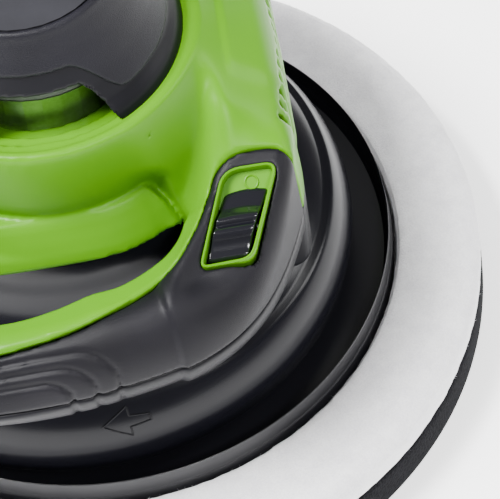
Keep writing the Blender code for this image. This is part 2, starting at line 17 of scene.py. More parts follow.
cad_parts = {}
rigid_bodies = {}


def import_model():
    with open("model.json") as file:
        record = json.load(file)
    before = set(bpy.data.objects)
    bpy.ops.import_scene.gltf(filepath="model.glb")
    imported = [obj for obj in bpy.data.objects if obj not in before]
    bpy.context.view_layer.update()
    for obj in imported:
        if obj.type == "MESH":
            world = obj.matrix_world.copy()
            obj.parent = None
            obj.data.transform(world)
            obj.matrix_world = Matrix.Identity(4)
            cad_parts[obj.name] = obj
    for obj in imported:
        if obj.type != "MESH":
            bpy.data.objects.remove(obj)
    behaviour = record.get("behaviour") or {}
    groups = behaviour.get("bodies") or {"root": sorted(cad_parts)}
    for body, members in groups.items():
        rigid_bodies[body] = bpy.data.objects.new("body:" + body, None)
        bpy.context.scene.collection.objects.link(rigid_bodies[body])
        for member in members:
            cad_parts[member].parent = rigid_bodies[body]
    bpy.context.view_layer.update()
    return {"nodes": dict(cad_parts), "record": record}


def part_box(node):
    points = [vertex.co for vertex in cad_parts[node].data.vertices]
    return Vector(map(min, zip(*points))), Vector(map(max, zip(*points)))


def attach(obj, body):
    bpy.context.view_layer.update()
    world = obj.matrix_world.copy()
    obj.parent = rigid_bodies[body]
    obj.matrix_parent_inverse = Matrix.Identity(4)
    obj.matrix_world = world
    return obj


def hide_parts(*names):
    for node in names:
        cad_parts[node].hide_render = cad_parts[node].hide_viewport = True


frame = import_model()
MM = 0.001
print("frame:", len(frame["nodes"]), "nodes")


# %% [markdown]
# ## Places read from the frame
# The heights that every piece shares come from the frame's own boxes, so that a new pack moves them all.

# %% Shared heights and radii
def low_mm(node):
    return Vector(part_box(node)[0]) / MM


def high_mm(node):
    return Vector(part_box(node)[1]) / MM


def centre_mm(node):
    return (low_mm(node) + high_mm(node)) / 2


PARTING = low_mm("upper_shell").z - 0.3
RIM_Z = high_mm("upper_shell").z
CAP_TOP = high_mm("top_cap").z
SKIRT_LOW = low_mm("lower_housing").z
PAD_R = high_mm("foam_upper").y
PAD_X = (high_mm("foam_upper").x + low_mm("foam_upper").x) / 2
FOAM_TOP = high_mm("foam_upper").z
FOAM_SPLIT = low_mm("foam_upper").z
PLATE_R = high_mm("backing_plate").y
PLATE_TOP = high_mm("backing_plate").z
CORD_Z = centre_mm("cord_gland").z
HANDLE_SCREWS = [tuple(centre_mm("handle_screw_right_%d" % k).xy) for k in (1, 2, 3)]
print("parting %.1f, cap %.1f, pad radius %.1f" % (PARTING, CAP_TOP, PAD_R))

# %% [markdown]
# ## Camera
# A long lens looks down on the right-hand grip, rolled a little to the right.

# %% Camera
CAMERA_AT = Vector((55.13, -734.98, 967.56)) * MM
ELEVATION, ROLL = radians(52.2), radians(-9.5)
behind = Vector((0, -cos(ELEVATION), sin(ELEVATION)))
level = Vector((1, 0, 0))
upward = behind.cross(level)
camera_right = cos(ROLL) * level + sin(ROLL) * upward
camera_up = -sin(ROLL) * level + cos(ROLL) * upward
lens = bpy.data.cameras.new("bench_camera")
lens.sensor_width = 36.0
lens.lens = 255.6
lens.clip_start, lens.clip_end = 0.05, 50
camera = bpy.data.objects.new("bench_camera", lens)
bpy.context.scene.collection.objects.link(camera)
camera.matrix_world = (Matrix.Translation(CAMERA_AT)
                       @ Matrix((camera_right, camera_up, behind)).transposed().to_4x4())
bpy.context.scene.camera = camera
print("camera lens", lens.lens)

# %% [markdown]
# ## Finishes
# A finish is one material. Its node-maker method takes a node's type, its settings and its inputs,
# and `Value` lets shader maths be written as plain Python: `0.3 + 0.1 * grain` adds the Math nodes.


# %% Shader helpers
class Value:
    """A number that varies over the surface: one output socket, with arithmetic."""

    def __init__(self, finish, socket):
        self.finish, self.socket = finish, socket

    def maths(self, operation, *others):
        inputs = dict(enumerate((self, *others)))
        return self.finish.node("ShaderNodeMath", {"operation": operation}, inputs).value()

    def __add__(self, other):
        return self.maths("ADD", other)

    def __mul__(self, other):
        return self.maths("MULTIPLY", other)

    __radd__, __rmul__ = __add__, __mul__


class Made:
    """A node just made, with its outputs as values."""

    def __init__(self, finish, node):
        self.finish, self.node = finish, node

    def value(self, output=0):
        return Value(self.finish, self.node.outputs[output])


class Finish:
    """A material, its Principled shader, and the method that adds nodes to it."""

    def __init__(self, name, colour, roughness, **constants):
        self.material = bpy.data.materials.new(name)
        self.material.use_nodes = True
        self.tree = self.material.node_tree
        self.shader = self.tree.nodes["Principled BSDF"]
        self.shader.inputs["Base Color"].default_value = (*colour, 1)
        self.shader.inputs["Roughness"].default_value = roughness
        for name_of, constant in constants.items():
            self.shader.inputs[name_of.replace("_", " ")].default_value = constant
        self.place = self.node("ShaderNodeTexCoord").value("Object")

    def node(self, kind, settings=None, inputs=None):
        made = self.tree.nodes.new(kind)
        for key, value in (settings or {}).items():
            if key == "stops":
                for stop, (position, colour) in zip(self.ramp_stops(made, len(value)), value):
                    stop.position, stop.color = position, colour
            else:
                setattr(made, key, value)
        for key, value in (inputs or {}).items():
            if isinstance(value, Value):
                self.tree.links.new(value.socket, made.inputs[key])
            else:
                made.inputs[key].default_value = value
        return Made(self, made)

    @staticmethod
    def ramp_stops(ramp, count):
        stops = ramp.color_ramp.elements
        while len(stops) < count:
            stops.new(1.0)
        return stops

    def noise(self, scale, detail=2.0, rough=0.5):
        inputs = {"Vector": self.place, "Scale": scale, "Detail": detail, "Roughness": rough}
        return self.node("ShaderNodeTexNoise", inputs=inputs).value("Fac")

    def cells(self, scale):
        inputs = {"Vector": self.place, "Scale": scale}
        return self.node("ShaderNodeTexVoronoi", inputs=inputs).value("Distance")

    def shades(self, mask, dark, light, low=0.3, high=0.7):
        stops = [(low, (*dark, 1)), (high, (*light, 1))]
        return self.node("ShaderNodeValToRGB", {"stops": stops}, {"Fac": mask}).value("Color")

    def feed(self, socket, value):
        self.tree.links.new(value.socket, self.shader.inputs[socket])

    def bump(self, height, distance, strength=1.0):
        inputs = {"Height": height, "Distance": distance, "Strength": strength}
        self.feed("Normal", self.node("ShaderNodeBump", inputs=inputs).value("Normal"))


# %% [markdown]
# ### Moulded plastics
# The green shell is satin ABS: an even colour, a faint unevenness in its gloss and an almost invisible
# grain. The black parts come from textured tools, so light breaks up on them into fine sparkles.

# %% Plastics
def satin_green():
    made = Finish("satin_green", (0.2, 0.5, 0.035), 0.36, Specular_IOR_Level=0.18)
    cloud = made.noise(28, 3)
    made.feed("Base Color", made.shades(cloud, (0.066, 0.222, 0.001), (0.078, 0.248, 0.0015)))
    made.feed("Roughness", 0.34 + 0.08 * made.noise(900, 2))
    made.bump(made.noise(2400, 2), 0.00002, 0.35)
    return made.material


def textured_black(name, colour, roughness, grain_scale, depth):
    made = Finish(name, colour, roughness, Specular_IOR_Level=0.18)
    grain = made.noise(grain_scale, 3, 0.6)
    lighter = tuple(c * 1.5 for c in colour)
    made.feed("Base Color", made.shades(made.noise(40, 2), colour, lighter))
    made.feed("Roughness", (roughness - 0.1) + 0.2 * grain)
    made.bump(grain, depth, 0.9)
    return made.material


def gloss_black(name, roughness, mirror=0.2):
    made = Finish(name, (0.005, 0.005, 0.0075), roughness, Specular_IOR_Level=mirror)
    made.feed("Roughness", roughness + 0.06 * made.noise(60, 3))
    made.bump(made.noise(1600, 2), 0.00001, 0.3)
    return made.material


green = satin_green()
cap_black = textured_black("spark_black", (0.0055, 0.0052, 0.0078), 0.44, 2600, 0.00014)
grip_black = textured_black("soft_grip_black", (0.0045, 0.0042, 0.006), 0.46, 3000, 0.00012)
moulded_black = textured_black("moulded_black", (0.0038, 0.0037, 0.0052), 0.4, 2000, 0.00003)
dome_black = gloss_black("dome_black", 0.2)
rocker_black = gloss_black("rocker_black", 0.1, 0.7)
print("plastics ready")

# %% [markdown]
# ### Foam
# The white polishing layer is a short-napped foam: matt, faintly mottled, with a soft nap that catches
# light. The black layer below it is open-cell foam, so its surface is all small pits, and its colour is
# painted darker at the bottom of each pit as painted shade.


# %% Foams
def white_nap():
    made = Finish("white_nap", (0.8, 0.79, 0.82), 0.95, Sheen_Weight=0.35, Sheen_Roughness=0.6)
    fibre = made.noise(1500, 4, 0.7)
    patch = made.noise(130, 3, 0.6)
    mottle = 0.55 * fibre + 0.45 * patch
    made.feed("Base Color", made.shades(mottle, (0.78, 0.77, 0.8), (0.96, 0.955, 0.97), 0.36, 0.6))
    made.bump(0.6 * fibre + 0.7 * patch, 0.0006, 0.7)
    return made.material


def open_cell_black():
    made = Finish("open_cell_black", (0.006, 0.006, 0.007), 0.95, Specular_IOR_Level=0.1)
    pit_depth_and_painted_shade = made.cells(900)
    # Painted shade: the colour darkens towards the bottom of each pit, where the same pattern sinks the
    # bump.
    made.feed("Base Color", made.shades(pit_depth_and_painted_shade, (0.002, 0.002, 0.0025), (0.009, 0.009, 0.011), 0.1, 0.6))
    made.bump(pit_depth_and_painted_shade + made.noise(2200, 2), 0.0004, 0.8)
    return made.material


white_foam = white_nap()
black_foam = open_cell_black()
print("foams ready")

# %% [markdown]
# ### Metals and small finishes
# Inner pieces show when the machine is opened on a bench, so each gets its own honest finish.


# %% Metals
def metal(name, colour, roughness, scratch_scale=700):
    made = Finish(name, colour, roughness, Metallic=1.0)
    wear = made.noise(scratch_scale, 4, 0.6)
    made.feed("Base Color", made.shades(wear, tuple(c * 0.82 for c in colour), colour))
    made.feed("Roughness", (roughness - 0.06) + 0.14 * wear)
    made.bump(wear, 0.00002, 0.4)
    return made.material


def speckled(name, dark, light, roughness, scale):
    made = Finish(name, light, roughness)
    made.feed("Base Color", made.shades(made.noise(scale, 4, 0.6), dark, light))
    made.bump(made.noise(scale * 2, 2), 0.00003, 0.5)
    return made.material


steel = metal("ground_steel", (0.62, 0.62, 0.64), 0.3)
plated = metal("zinc_plate", (0.5, 0.5, 0.53), 0.38)
cast = metal("die_cast", (0.45, 0.45, 0.46), 0.5, 250)
copper = metal("enamelled_copper", (0.72, 0.31, 0.14), 0.3)
brass = metal("stamped_brass", (0.75, 0.56, 0.25), 0.3)
laminations = metal("stacked_laminations", (0.33, 0.33, 0.35), 0.5, 1500)
ferrite = speckled("ferrite", (0.03, 0.03, 0.032), (0.06, 0.06, 0.065), 0.7, 500)
carbon = speckled("carbon", (0.015, 0.015, 0.016), (0.04, 0.04, 0.042), 0.6, 800)
board_green = speckled("board_green", (0.012, 0.1, 0.035), (0.02, 0.16, 0.06), 0.35, 300)
nylon = speckled("glass_filled_nylon", (0.1, 0.1, 0.105), (0.16, 0.16, 0.165), 0.5, 400)
hook_weave = speckled("hook_fabric", (0.012, 0.012, 0.012), (0.05, 0.05, 0.052), 0.95, 1400)
label_film = textured_black("label_film", (0.017, 0.017, 0.02), 0.42, 1200, 0.00001)

CAD_FINISH = {
    "steel": steel, "screw_steel": plated, "cast_zinc": cast, "copper": copper, "brass": brass,
    "laminations": laminations, "ferrite": ferrite, "carbon": carbon, "circuit_board": board_green,
    "grey_plastic": nylon, "hook_fabric": hook_weave, "label_black": label_film,
    "matt_black": moulded_black, "textured_black": cap_black, "soft_grip": grip_black,
    "gloss_black": dome_black, "shell_green": green, "foam_black": black_foam,
    "foam_white": white_foam,
}
SLOT_OF = {row["node"]: row["material_slot"] for row in frame["record"]["subparts"]}
for node_name, node_object in frame["nodes"].items():
    for slot in node_object.material_slots:
        slot.material = CAD_FINISH[SLOT_OF[node_name]]
print("finished CAD nodes:", len(SLOT_OF))

# %% [markdown]
# ## Distance fields
# The mouldings flow into each other with soft fillets, which is hard to do with separate primitives.
# So each moulding is a formula: the distance to its surface, negative inside. Two formulas meet in a
# `rounded_max`, which is a fillet of a chosen radius. A surface net then walks the grid and makes quads
# wherever the field changes sign.


# %% Field tools
def plan_distance(outline, x, y):
    """Signed distance from points (x, y) to a closed outline, negative inside."""
    best = np.full(x.shape, 1e9)
    inside = np.zeros(x.shape, bool)
    for (x0, y0), (x1, y1) in zip(outline, outline[1:] + outline[:1]):
        ex, ey = x1 - x0, y1 - y0
        along = np.clip(((x - x0) * ex + (y - y0) * ey) / (ex * ex + ey * ey), 0, 1)
        best = np.minimum(best, (x - x0 - along * ex) ** 2 + (y - y0 - along * ey) ** 2)
        crosses = ((y0 > y) != (y1 > y)) & (x < ex * (y - y0) / (ey if ey else 1e-9) + x0)
        inside ^= crosses
    return np.where(inside, -1, 1) * np.sqrt(best)


def rounded_max(a, b, radius):
    """The overlap of two solids, its edge rounded to a radius."""
    outside = np.hypot(np.maximum(a + radius, 0), np.maximum(b + radius, 0))
    return np.minimum(np.maximum(a, b), -radius) + outside


def ramp(value, low, high):
    """0 below low, 1 above high, smooth between."""
    t = np.clip((value - low) / (high - low), 0, 1)
    return t * t * (3 - 2 * t)


def smooth_curve(points, steps=6, closed=True):
    """A Catmull-Rom curve through points."""
    n = len(points)
    out = []
    for i in range(n if closed else n - 1):
        near = [k % n if closed else min(max(k, 0), n - 1) for k in range(i - 1, i + 3)]
        p = [np.array(points[k], float) for k in near]
        for s in range(steps):
            t = s / steps
            out.append(tuple(0.5 * (2 * p[1] + (p[2] - p[0]) * t
                                    + (2 * p[0] - 5 * p[1] + 4 * p[2] - p[3]) * t ** 2
                                    + (3 * p[1] - p[0] - 3 * p[2] + p[3]) * t ** 3)))
    if not closed:
        out.append(tuple(points[-1]))
    return out


class Grid:
    """A box of sample points, with x and y as flat sheets so that plan shapes are worked out once."""

    def __init__(self, low, high, step):
        self.low, self.step = np.array(low, float), step
        counts = np.ceil((np.array(high) - self.low) / step).astype(int) + 1
        axes = [self.low[k] + step * np.arange(counts[k]) for k in range(3)]
        self.x, self.y = np.meshgrid(axes[0], axes[1], indexing="ij")
        self.z = axes[2][None, None, :]
        self.radius = np.hypot(self.x, self.y)

    @staticmethod
    def deep(sheet):
        return sheet[:, :, None]


def net_corners(field):
    """Sum of the crossing points, and their number, in every cell of the grid."""
    shape = tuple(n - 1 for n in field.shape)
    total, count = np.zeros(shape + (3,), np.float32), np.zeros(shape, np.float32)
    for axis in range(3):
        a = np.moveaxis(field, axis, 0)[:-1]
        b = np.moveaxis(field, axis, 0)[1:]
        crossing = (a < 0) != (b < 0)
        share = np.where(crossing, a / np.where(crossing, a - b, 1), 0)
        n1, n2 = a.shape[1] - 1, a.shape[2] - 1
        rest = [k for k in range(3) if k != axis]
        for d1 in (0, 1):
            for d2 in (0, 1):
                hit = np.moveaxis(crossing[:, d1:n1 + d1, d2:n2 + d2], 0, axis)
                part = np.moveaxis(share[:, d1:n1 + d1, d2:n2 + d2], 0, axis)
                count += hit
                total[..., axis] += part
                total[..., rest[0]] += hit * d1
                total[..., rest[1]] += hit * d2
    return total, count


def surface_net(name, field, grid, finish):
    """The mesh of a field's zero surface, as an object in metres."""
    total, count = net_corners(field)
    used = count > 0
    index = np.full(count.shape, -1)
    index[used] = np.arange(used.sum())
    cells = np.argwhere(used)
    points = grid.low + grid.step * (cells + total[used] / count[used][:, None])
    quads = []
    for axis in range(3):
        a = np.moveaxis(field, axis, 0)[:-1] < 0
        b = np.moveaxis(field, axis, 0)[1:] < 0
        cell = np.moveaxis(index, axis, 0)
        i, j, k = np.nonzero((a != b)[:, 1:-1, 1:-1])
        j, k = j + 1, k + 1
        ring = np.stack([cell[i, j - 1, k - 1], cell[i, j, k - 1], cell[i, j, k], cell[i, j - 1, k]], 1)
        outward = a[i, j, k] ^ (axis == 1)
        quads.append(np.where(outward[:, None], ring, ring[:, ::-1]))
    quads = np.concatenate(quads)
    mesh = bpy.data.meshes.new(name)
    mesh.vertices.add(len(points))
    mesh.vertices.foreach_set("co", (points * MM).astype(np.float32).ravel())
    mesh.loops.add(quads.size)
    mesh.loops.foreach_set("vertex_index", quads.astype(np.int32).ravel())
    mesh.polygons.add(len(quads))
    mesh.polygons.foreach_set("loop_start", np.arange(0, quads.size, 4, dtype=np.int32))
    mesh.update(calc_edges=True)
    mesh.validate()
    return show(name, mesh, finish)


def show(name, mesh, finish):
    """Puts a mesh into the scene in one finish."""
    mesh.shade_smooth()
    mesh.materials.append(finish)
    made = bpy.data.objects.new(name, mesh)
    bpy.context.scene.collection.objects.link(made)
    print(name, "faces:", len(mesh.polygons))
    return made


# %% [markdown]
# ## The mouldings' common shape
# Seen from above, the upper body is one outline with two hand holes. Its top falls away from the rim
# of the cap recess, dips round each hand hole, and lifts into a level deck round the switch.

# %% Outlines
BODY_SIDE = [(75, 0), (75, -18), (75.5, -34), (74, -46), (70, -58), (64, -71), (56, -83), (45, -93),
             (31, -100), (14, -104), (-5, -106.5), (-27, -107.3), (-50, -105), (-71, -98),
             (-87, -86), (-98, -70), (-104, -50), (-107, -26), (-108, 0)]
HAND_HOLE = [(36.5, -47), (35.8, -53), (32.5, -60.5), (26.3, -67.6), (14.8, -73.8), (5, -75.4),
             (-1, -77.3), (-8, -79.3), (-20, -81), (-42, -80), (-62, -75.5), (-74, -67),
             (-79, -58), (-75, -49), (-60, -43), (-30, -36), (20, -36)]
SHELF_EDGE = [(35.5, -45.5), (29.5, -51), (23.7, -54.2), (15.4, -56.8), (4.4, -57.8), (-7, -58),
              (-18.5, -57.8), (-30, -56.8), (-39, -54.2), (-46, -50), (-52, -44), (-40, -20),
              (20, -20)]
SHELF_TOP = 115.5
GRIP_EDGE = [(-108, -56), (-96, -72), (-86, -81), (-70, -88.5), (-50, -93), (-25, -94), (-2, -91.5),
             (16, -84.5), (31, -75), (37, -68), (42.5, -59), (45.5, -52), (49.5, -46), (58, -43),
             (69, -43.3), (77, -50)]
BEYOND_GRIP = [(100, -60), (90, -125), (0, -140), (-100, -125), (-130, -80)]
ROOF_FROM, ROOF_SLOPE, ROOF_DROP, ROOF_REACH = 51.4, 0.66, 5, 14
BEZEL_AT = np.array((52.0, -61.5, 118.5))
BEZEL_TILT = radians(18)
BEZEL_ACROSS = np.array((1.0, 0.0, 0.0))
BEZEL_ALONG = np.array((0.0, cos(BEZEL_TILT), sin(BEZEL_TILT)))
BEZEL_OUT = np.cross(BEZEL_ACROSS, BEZEL_ALONG)
WINDOW = [(-13.2, -16.0), (3.7, -15.6), (16.3, 14.9), (-1.3, 15.0)]
WINDOW_CORNER_R = (3.4, 4.2, 5.0, 5.6)


def body_outline():
    """The whole plan of the body, mirrored from the drawn side."""
    half = smooth_curve(BODY_SIDE, 5, closed=False)
    return half + [(x, -y) for x, y in reversed(half[1:-1])]


def grip_outline():
    """The grip's inner edge, closed by a path that runs outside the body."""
    return smooth_curve(GRIP_EDGE, 5, closed=False) + BEYOND_GRIP


def neck_field(grid):
    """The wall round the motor: a steep neck, an undercut line, and the shelf below it."""
    wall = np.interp(grid.z, [94, 115, 116, 122, RIM_Z], [49.2, 49.2, 49.0, 49.9, 51.6])
    column = grid.deep(grid.radius) - wall
    inset = np.interp(grid.z, [94, 101, 102, 105, 109, 113, SHELF_TOP],
                      [0.2, 0.0, 0.2, 1.3, 3.6, 6.2, 8.2])
    for side in (-1, 1):
        edge = plan_distance(smooth_curve(SHELF_EDGE, 4), grid.x, grid.y * -side)
        shelf = np.maximum(grid.deep(edge) + inset, grid.z - SHELF_TOP)
        column = np.minimum(column, shelf)
    return column


def roof_height(radius):
    """Height of the top surface at a distance from the motor axis."""
    out = np.maximum(radius - ROOF_FROM, 0)
    return RIM_Z - ROOF_SLOPE * out - ROOF_DROP * (1 - np.exp(-out / ROOF_REACH))


def deck_height(grid):
    """Height of the plane that the switch sits in."""
    return BEZEL_AT[2] - 0.6 + (grid.y - BEZEL_AT[1]) * np.tan(BEZEL_TILT)


def window_outline(grow=0.0):
    """Rounded parallelogram of the switch window, across and along the deck."""
    corners = [np.array(c, float) for c in WINDOW]
    out = []
    for i, (here, radius) in enumerate(zip(corners, WINDOW_CORNER_R)):
        before, after = corners[i - 1], corners[(i + 1) % 4]
        start = here + (before - here) / np.linalg.norm(before - here) * radius
        end = here + (after - here) / np.linalg.norm(after - here) * radius
        for t in np.linspace(0, 1, 7):
            out.append((1 - t) ** 2 * start + 2 * t * (1 - t) * here + t ** 2 * end)
    n = len(out)
    grown = []
    for i, point in enumerate(out):
        step = out[(i + 1) % n] - out[i - 1]
        step = step / np.linalg.norm(step)
        grown.append((point[0] + step[1] * grow, point[1] - step[0] * grow))
    return grown


def on_deck(u, v, w=0.0):
    """A point of the deck's own frame, in millimetres."""
    return BEZEL_AT + BEZEL_ACROSS * u + BEZEL_ALONG * v + BEZEL_OUT * w


print("outlines ready:", len(body_outline()), "points round the body")


# %% Top surface and body field
DECK_PLAN = [(38, -80), (58, -85), (80, -60), (80, -42), (50, -45)]
HANDLE_MIDDLE = -21
PANEL_HEIGHT = 0.8


def hole_sheet(grid, side):
    """Distance from a hand hole in plan; side is -1 on the right and 1 on the left."""
    return plan_distance(smooth_curve(HAND_HOLE, 5), grid.x, grid.y * -side)


def soft_min(a, b, reach):
    """The lower of two heights, blended where they differ by less than the reach."""
    near = np.maximum(reach - np.abs(a - b), 0) / reach
    return np.minimum(a, b) - near ** 2 * reach / 4


def top_height(grid, with_deck):
    """The top surface over the whole plan."""
    roof = roof_height(grid.radius)
    top = roof
    if with_deck:
        deck = plan_distance(DECK_PLAN, grid.x, grid.y)
        share = 1 - ramp(deck, -3, 14)
        top = top + share * (deck_height(grid) - top)
    for side in (-1, 1):
        away = hole_sheet(grid, side)
        ends = ramp(np.abs(grid.x - HANDLE_MIDDLE), 46, 62)
        dish = 109.2 - 2.5 * ends + (0.42 + 0.95 * ends) * np.maximum(away, -3)
        top = soft_min(top, dish, 7)
    return roof + ramp(grid.radius, 50.5, 59) * (top - roof)


def body_field(grid, with_deck=True):
    """The whole upper body before it is split into shell and grips."""
    top = top_height(grid, with_deck)
    edge = 5 + 6 * ramp(np.abs(grid.y), 44, 70)
    outline = plan_distance(body_outline(), grid.x, grid.y)
    draft = 0.05 * np.maximum(grid.z - PARTING, 0)
    steep = np.hypot(1, np.hypot(*np.gradient(top, grid.step)))
    below_top = (grid.z - grid.deep(top)) / grid.deep(steep)
    solid = rounded_max(grid.deep(outline) + draft, below_top, grid.deep(edge))
    panel = ramp(grid.x, 57.4, 58.8) * (1 - ramp(np.abs(grid.y), 17, 24))
    solid = solid - PANEL_HEIGHT * grid.deep(panel)
    neck = neck_field(grid)
    corner = np.interp(grid.z, [94, 112, 117, 126], [0.8, 1.2, 5, 13])
    for side in (-1, 1):
        away = grid.deep(hole_sheet(grid, side))
        opening = rounded_max(away, -neck, corner)
        solid = rounded_max(solid, -opening, 2.0)
    return solid


print("fields ready")

# %% [markdown]
# ## Green shell
# One hollow moulding: the neck with the cap recess, the decks front and rear, and the inner strip of
# each handle. Its front wall is slotted for the motor's air, and a raised panel runs along the front.


# %% Green shell
SHELL_WALL, NECK_WALL_R, RECESS_R = 3, 51, 47.5
VENT_PITCH, VENT_HALF_WIDTH, VENT_HALF_HEIGHT, VENT_MIDDLE_Z = 5.2, 1.3, 11.5, 113.5


def grip_sheet(grid, side):
    """Distance from a grip's part of the plan."""
    return plan_distance(grip_outline(), grid.x, grid.y * -side)


def vent_slots(grid):
    """A row of upright slots through the front wall."""
    nearest = grid.y - VENT_PITCH * np.round(np.clip(grid.y / VENT_PITCH, -6, 6))
    across = grid.deep(np.abs(nearest) - VENT_HALF_WIDTH)
    tall = np.abs(grid.z - VENT_MIDDLE_Z) - VENT_HALF_HEIGHT
    deep = grid.deep(66 - grid.x)
    return np.maximum(np.maximum(across, tall), deep)


def recess_ledges(grid):
    """Stepped ledges round the foot of the recess, seen below the arches of the cap."""
    height = np.interp(grid.radius, [26, 33, 33.4, 38.5, 38.9, 43.5, 43.9, 48],
                       [134, 136.5, 139.4, 140.4, 142.6, 143.4, 145.0, 145.6])
    ring = np.maximum(grid.radius - 48, 27 - grid.radius)
    return np.maximum(grid.deep(ring), np.maximum(grid.z - grid.deep(height), 131 - grid.z))


def make_shell():
    grid = Grid((-110, -100, PARTING - 4), (78, 100, RIM_Z + 3), 1.1)
    outside = body_field(grid)
    axis = grid.deep(grid.radius) + 0 * grid.z
    sleeve = np.maximum(outside, axis - NECK_WALL_R)
    shell = np.minimum(np.maximum(outside, -(outside + SHELL_WALL)), sleeve)
    shell = rounded_max(shell, RECESS_R - axis, 1.4)
    shell = np.minimum(shell, recess_ledges(grid))
    for side in (-1, 1):
        shell = rounded_max(shell, 0.35 - grid.deep(grip_sheet(grid, side)), 0.9)
    shell = np.maximum(shell, -vent_slots(grid))
    over_skirt = (1 - ramp(grid.radius, 67, 70)) * (1 - ramp(np.abs(grid.x + 6), 40, 44))
    foot = PARTING + 0.15 + 6.0 * over_skirt
    shell = rounded_max(shell, grid.deep(foot) - grid.z, 0.7)
    return surface_net("green_shell", shell, grid, green)


shell = make_shell()
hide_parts("upper_shell")
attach(shell, "housing")

# %% [markdown]
# ## Grips and handle undersides
# The grips are soft black skins over the outer half of each handle; the right one widens into the
# switch deck. Three nested grooves wrap each grip. They are level sets of a rounded corner drawn in
# unrolled coordinates: along the handle, and round it from the parting line.

# %% Grip fields
GRIP_MIDDLE_X = -27
TUBE_Y, TUBE_R = 93, 15
GROOVES = ((36.5, 19.4, 12), (29.5, 15.2, 11), (22, 10.6, 9))
GROOVE_DEPTH, GROOVE_WIDTH, PANEL_RISE = 1.0, 0.75, 0.25
GRIP_WALL = 5
SCREW_HOLE_R, SCREW_SEAT_DEPTH = 3.7, 6.1
STEP_DEPTH, STEP_LEAN, STEP_FROM_Y = 1.6, -0.2, 81


def groove_relief(grid, side):
    """How much the nested grooves take off the surface."""
    past_tube = np.maximum(grid.deep(grid.y * side) - TUBE_Y, -40)
    round_it = TUBE_R * np.arctan2(grid.z - PARTING, past_tube)
    along = grid.deep(np.abs(grid.x - GRIP_MIDDLE_X)) + 0 * grid.z
    relief = 0
    for half_length, reach, corner in GROOVES:
        line = rounded_max(along - half_length, np.where(grid.z > PARTING, round_it, -9) - reach, corner)
        relief = relief + GROOVE_DEPTH * np.exp(-(line / GROOVE_WIDTH) ** 2)
        relief = relief - PANEL_RISE * ramp(-line, 0, 1.2)
    return relief


def grip_step(grid, side):
    """How much the handle is thinner behind the slanting line at the front of the grip."""
    line = grid.x + (grid.y * side - STEP_FROM_Y) * STEP_LEAN
    return grid.deep(1 - ramp(line, 24.3, 27.3)) * STEP_DEPTH


def make_grip(name, side):
    """The soft upper skin of a handle; the right one has the window of the switch."""
    y_range = sorted((side * 38, side * 110))
    grid = Grid((-112, y_range[0], PARTING - 2), (79, y_range[1], 130), 0.8)
    body = body_field(grid, with_deck=side < 0)
    grip = body + grip_step(grid, side) + groove_relief(grid, side)
    grip = rounded_max(grip, grid.deep(grip_sheet(grid, side)), 0.8)
    grip = np.maximum(grip, -(body + GRIP_WALL))
    if side < 0:
        window = [tuple(on_deck(u, v)[:2]) for u, v in window_outline(0.25)]
        beside = plan_distance(window, grid.x, grid.y)
        grip = rounded_max(grip, -grid.deep(beside) + 0 * grid.z, 0.5)
    grip = rounded_max(grip, PARTING + 0.12 - grid.z, 1.1)
    made = surface_net(name, grip, grid, grip_black)
    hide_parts(name.replace("_skin", ""))
    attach(made, "housing")


def make_underside(name, side):
    """The lower half of a handle, with its screw holes."""
    y_range = sorted((side * 44, side * 110))
    grid = Grid((-112, y_range[0], 74), (79, y_range[1], PARTING + 2), 0.9)
    outline = plan_distance(body_outline(), grid.x, grid.y)
    keel = np.interp(grid.radius, [60, 75, 92, 104, 112], [76, 77.5, 79.5, 82, 85])
    half = rounded_max(grid.deep(outline) + 0.2, grid.deep(keel) - grid.z, 11)
    half = half + grip_step(grid, side) + groove_relief(grid, side) * ramp(grid.z, 84, 88)
    half = rounded_max(half, -(grid.deep(hole_sheet(grid, side)) + 0 * grid.z), 5)
    half = np.maximum(half, 62.8 - grid.deep(grid.radius))
    half = rounded_max(half, grid.z - PARTING + 0.15, 1.1)
    half = rounded_max(half, 46.2 - grid.deep(grid.y * side), 0.8)
    for x, y in HANDLE_SCREWS:
        beside = grid.deep(np.hypot(grid.x - x, grid.y * -side - y))
        hole = np.maximum(beside - SCREW_HOLE_R, grid.z - (PARTING - SCREW_SEAT_DEPTH))
        half = np.maximum(half, -hole)
    made = surface_net(name, half, grid, moulded_black)
    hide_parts(name.replace("_skin", ""))
    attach(made, "housing")


for word, side in (("right", -1), ("left", 1)):
    make_grip("grip_%s_skin" % word, side)
    make_underside("handle_lower_%s_skin" % word, side)

# %% [markdown]
# ## Turned pieces
# The skirt, the backing plate and the foam are all turned: one profile, swept round an axis. A bump
# function can lift the surface at an angle, which gives the skirt its crescent step.


# %% Lathe
LIFT_RISE = 0.6
CRESCENT_HEIGHT, CRESCENT_FULL, CRESCENT_GONE = 1.3, 45, 78


def ring_faces(rings, n, closed=True):
    """Quads between neighbouring rings of n points each."""
    faces = []
    for k in range(rings if closed else rings - 1):
        here, there = k * n, (k + 1) % rings * n
        faces += [(here + i, here + (i + 1) % n, there + (i + 1) % n, there + i)
                  for i in range(n)]
    return faces


def outward_mesh(name, points, faces, merge=None, bevel=None):
    """A mesh with outward normals, doubled points merged and sharp edges bevelled."""
    mesh = bpy.data.meshes.new(name)
    mesh.from_pydata(points, [], faces)
    work = bmesh.new()
    work.from_mesh(mesh)
    if merge:
        bmesh.ops.remove_doubles(work, verts=work.verts, dist=merge)
    bmesh.ops.recalc_face_normals(work, faces=work.faces)
    if bevel:
        sharp = [e for e in work.edges
                 if len(e.link_faces) == 2 and e.calc_face_angle() > radians(50)]
        bmesh.ops.bevel(work, geom=sharp, offset=bevel * MM, segments=3, affect="EDGES",
                        profile=0.5)
    work.to_mesh(mesh)
    work.free()
    return mesh


